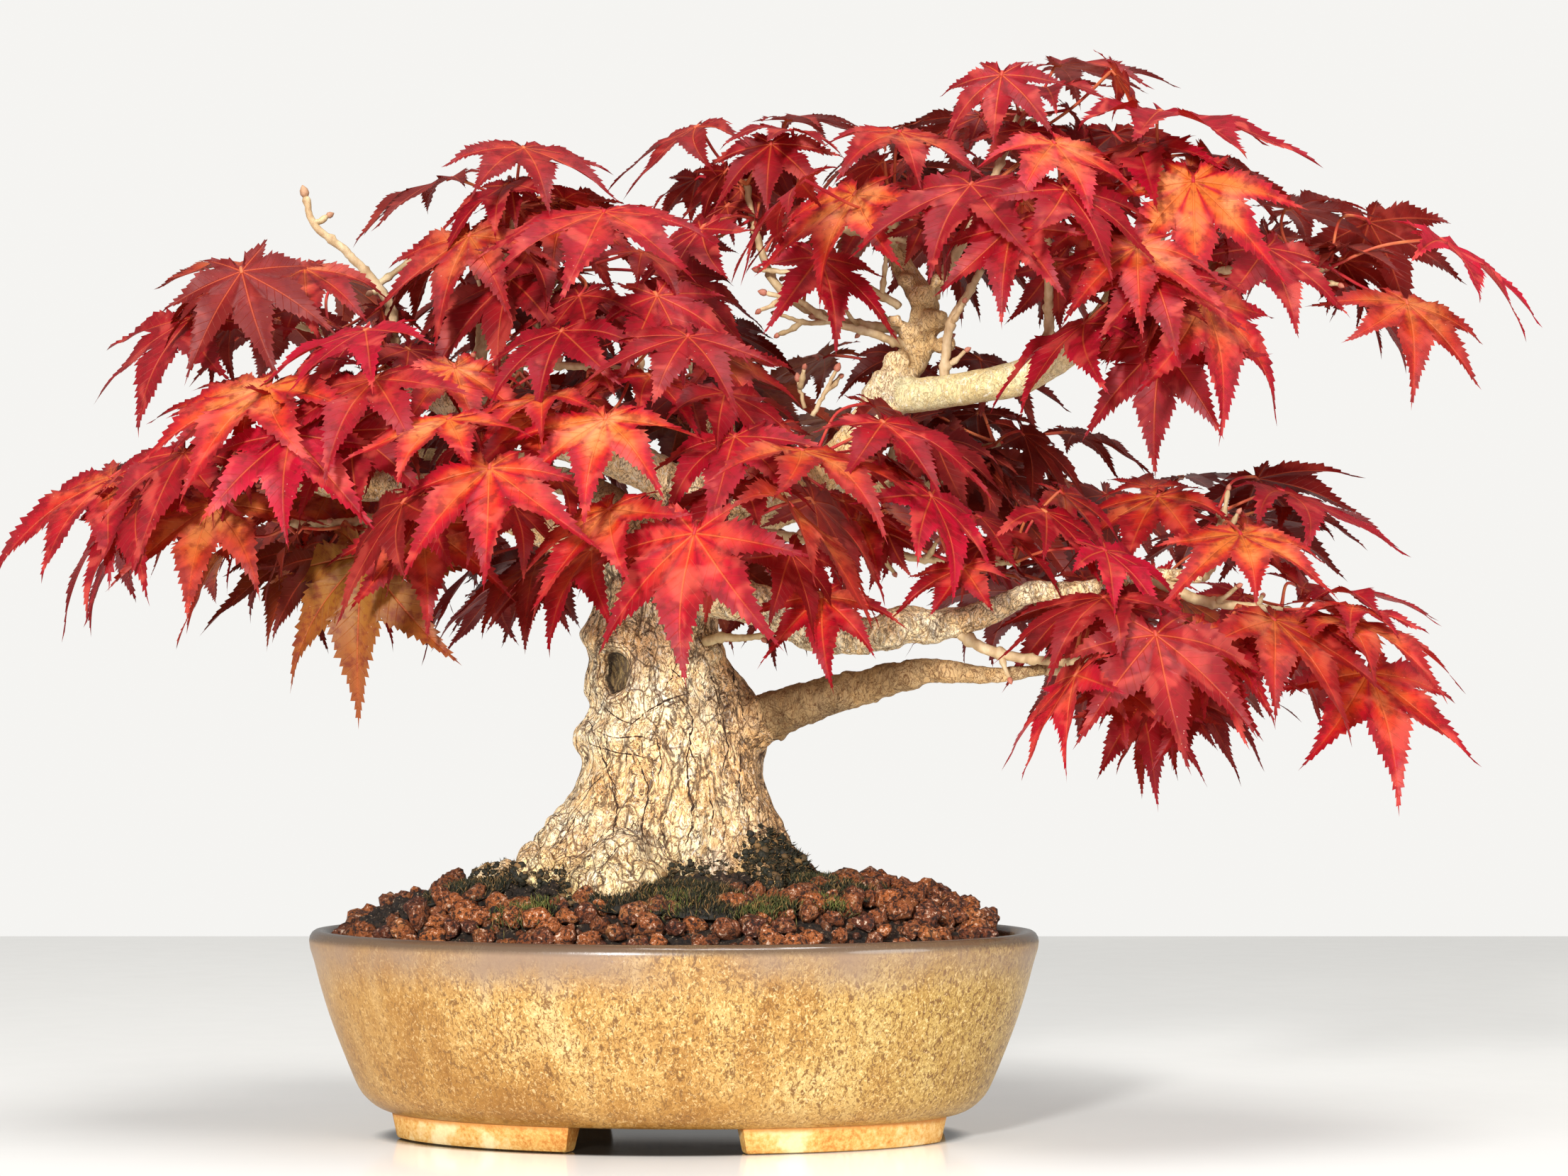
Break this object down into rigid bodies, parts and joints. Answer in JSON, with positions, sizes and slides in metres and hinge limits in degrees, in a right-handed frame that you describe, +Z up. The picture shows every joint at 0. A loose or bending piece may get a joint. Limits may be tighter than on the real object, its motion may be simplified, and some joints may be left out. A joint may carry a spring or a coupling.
{
  "type": "bonsai tree in a pot",
  "caption": "Small maple bonsai with a flared trunk, layered branches of red palmate leaves, moss and clay granules, in an oval glazed pot on feet.",
  "frame": {"origin": "on the ground, under the middle of the whole tree's box seen from above; the pot stands on Z = 0 a little left of it", "axes": "+Z up, +X along the pot and the tree's longest spread, -Y towards the front the tree is seen from"},
  "size_m": [0.4276, 0.2496, 0.2955],
  "materials": {
    "glazed_pot": "gloss",
    "screen_plastic": "matte",
    "training_wire": "satin",
    "pumice": "matte",
    "clay_granules": "matte",
    "moss": "matte",
    "bark": "matte",
    "young_bark": "satin",
    "red_leaf": "satin"
  },
  "bodies": {
    "root": {"anchor_wire": "training_wire", "back_left_branch": "bark", "back_right_branch": "bark", "bare_twig": "bark", "crown_branch": "young_bark", "crown_leader": "bark", "crown_limb": "bark", "drain_screen_left": "screen_plastic", "drain_screen_right": "screen_plastic", "drainage_layer": "pumice", "lower_left_branch": "bark", "lower_right_branch": "bark", "moss_back": "moss", "moss_front": "moss", "moss_left": "moss", "moss_right": "moss", "pot": "glazed_pot", "screen_clip_left": "training_wire", "screen_clip_right": "training_wire", "soil": "clay_granules", "spray_back_far_left": "red_leaf", "spray_back_far_right": "red_leaf", "spray_back_left": "red_leaf", "spray_back_left_high": "red_leaf", "spray_back_middle": "red_leaf", "spray_back_middle_high": "red_leaf", "spray_back_right": "red_leaf", "spray_back_right_high": "red_leaf", "spray_behind_right": "red_leaf", "spray_centre_right": "red_leaf", "spray_crown_arm": "red_leaf", "spray_crown_back": "red_leaf", "spray_crown_front": "red_leaf", "spray_crown_left": "red_leaf", "spray_crown_right": "red_leaf", "spray_crown_top": "red_leaf", "spray_far_right": "red_leaf", "spray_front": "red_leaf", "spray_front_left": "red_leaf", "spray_left_front": "red_leaf", "spray_left_low": "red_leaf", "spray_left_middle": "red_leaf", "spray_left_tip": "red_leaf", "spray_left_top": "red_leaf", "spray_lower_right": "red_leaf", "spray_middle": "red_leaf", "spray_right_middle": "red_leaf", "spray_right_tip": "red_leaf", "spray_right_top": "red_leaf", "spray_right_under": "red_leaf", "spray_top_middle": "red_leaf", "spray_under_middle": "red_leaf", "spray_upper_left": "red_leaf", "spray_upper_middle": "red_leaf", "trunk": "bark", "upper_left_branch": "bark", "upper_right_branch": "bark"}
  },
  "joints": []
}
